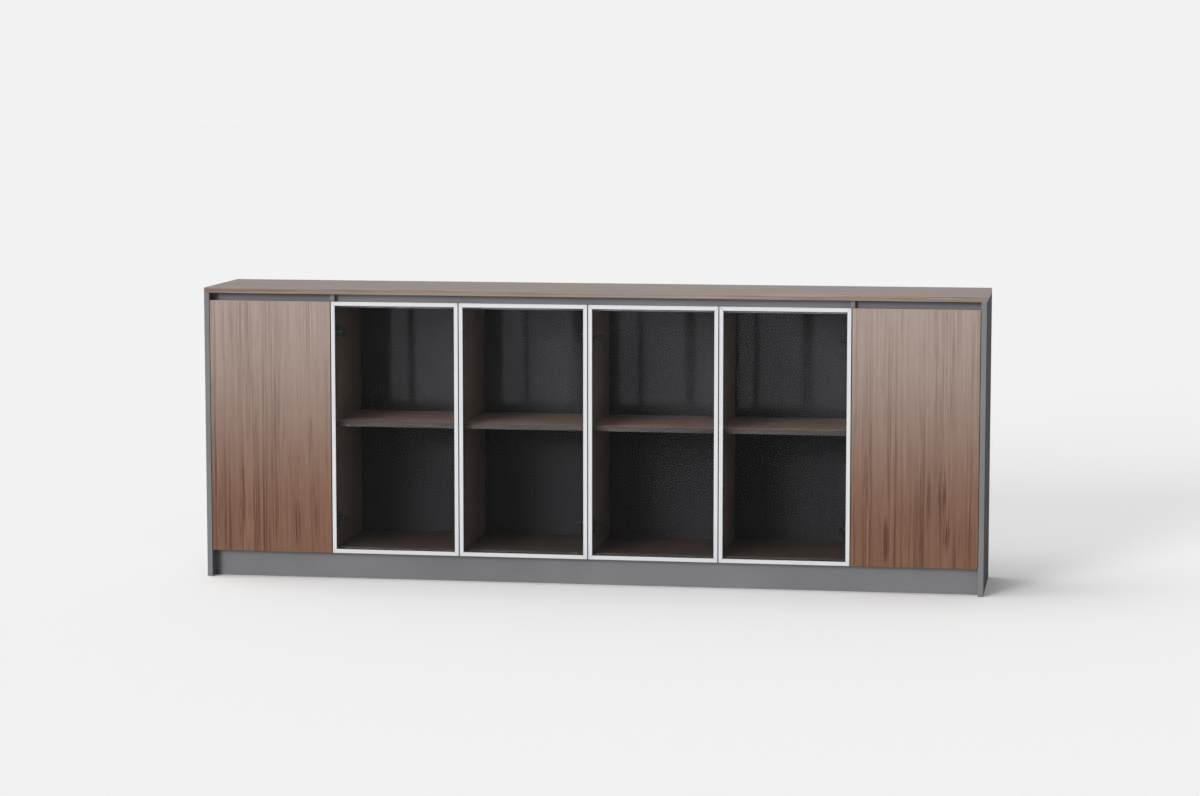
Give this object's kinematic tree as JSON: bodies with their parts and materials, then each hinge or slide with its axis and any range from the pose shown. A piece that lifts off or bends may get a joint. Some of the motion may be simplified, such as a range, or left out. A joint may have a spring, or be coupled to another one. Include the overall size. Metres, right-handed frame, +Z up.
{
  "type": "office credenza",
  "caption": "Long low office credenza with a wood top, wood end doors and dark glass doors in slim aluminium frames, on a recessed plinth, opened by a finger gap under the top.",
  "frame": {"origin": "on the floor, under the middle of the carcass", "axes": "+X along the width to the right as seen from the front, +Y towards the rear, +Z up; the doors face -Y"},
  "size_m": [2.4, 0.38, 0.9],
  "materials": {
    "wood": "walnut-toned wood decor with a satin face",
    "grey_board": "plain grey melamine face on board",
    "back_board": "matt charcoal face on thin board",
    "aluminium": "bright satin anodised",
    "glass": "clear polished, dark grey tint",
    "steel": "black nickel plated, satin"
  },
  "bodies": {
    "carcass": {"top_panel": "wood", "side_panel_left": "grey_board", "side_panel_right": "grey_board", "bottom_panel": "wood", "partition_1": "wood", "partition_2": "wood", "partition_3": "wood", "partition_4": "wood", "partition_5": "wood", "finger_rail_left": "grey_board", "finger_rail_middle": "grey_board", "finger_rail_right": "grey_board", "back_panel": "back_board", "plinth_front": "grey_board", "plinth_rear": "grey_board", "plinth_brace": "grey_board", "shelf_1": "wood", "shelf_2": "wood", "shelf_3": "wood", "shelf_4": "wood", "shelf_5": "wood", "shelf_6": "wood", "door_1_hinge_arm_upper": "steel", "door_1_hinge_arm_lower": "steel", "door_2_hinge_arm_upper": "steel", "door_2_hinge_arm_lower": "steel", "door_3_hinge_arm_upper": "steel", "door_3_hinge_arm_lower": "steel", "door_4_hinge_arm_upper": "steel", "door_4_hinge_arm_lower": "steel", "door_5_hinge_arm_upper": "steel", "door_5_hinge_arm_lower": "steel", "door_6_hinge_arm_upper": "steel", "door_6_hinge_arm_lower": "steel"},
    "door_1": {"door_1_panel": "wood", "door_1_hinge_cup_upper": "steel", "door_1_hinge_cup_lower": "steel"},
    "door_6": {"door_6_panel": "wood", "door_6_hinge_cup_upper": "steel", "door_6_hinge_cup_lower": "steel"},
    "door_2": {"door_2_frame_top": "aluminium", "door_2_frame_bottom": "aluminium", "door_2_frame_left": "aluminium", "door_2_frame_right": "aluminium", "door_2_glass": "glass"},
    "door_3": {"door_3_frame_top": "aluminium", "door_3_frame_bottom": "aluminium", "door_3_frame_left": "aluminium", "door_3_frame_right": "aluminium", "door_3_glass": "glass"},
    "door_4": {"door_4_frame_top": "aluminium", "door_4_frame_bottom": "aluminium", "door_4_frame_left": "aluminium", "door_4_frame_right": "aluminium", "door_4_glass": "glass"},
    "door_5": {"door_5_frame_top": "aluminium", "door_5_frame_bottom": "aluminium", "door_5_frame_left": "aluminium", "door_5_frame_right": "aluminium", "door_5_glass": "glass"}
  },
  "joints": [
    {"name": "door_1_hinge", "type": "hinge", "parent": "carcass", "child": "door_1", "pos_m": [-1.175, -0.186, 0.472], "axis": [0, 0, -1], "range_deg": [0, 90]},
    {"name": "door_2_hinge", "type": "hinge", "parent": "carcass", "child": "door_2", "pos_m": [-0.7915, -0.186, 0.472], "axis": [0, 0, -1], "range_deg": [0, 90]},
    {"name": "door_3_hinge", "type": "hinge", "parent": "carcass", "child": "door_3", "pos_m": [-0.0085, -0.186, 0.472], "axis": [0, 0, 1], "range_deg": [0, 90]},
    {"name": "door_4_hinge", "type": "hinge", "parent": "carcass", "child": "door_4", "pos_m": [0.0085, -0.186, 0.472], "axis": [0, 0, -1], "range_deg": [0, 90]},
    {"name": "door_5_hinge", "type": "hinge", "parent": "carcass", "child": "door_5", "pos_m": [0.7915, -0.186, 0.472], "axis": [0, 0, 1], "range_deg": [0, 90]},
    {"name": "door_6_hinge", "type": "hinge", "parent": "carcass", "child": "door_6", "pos_m": [1.175, -0.186, 0.472], "axis": [0, 0, 1], "range_deg": [0, 90]}
  ]
}
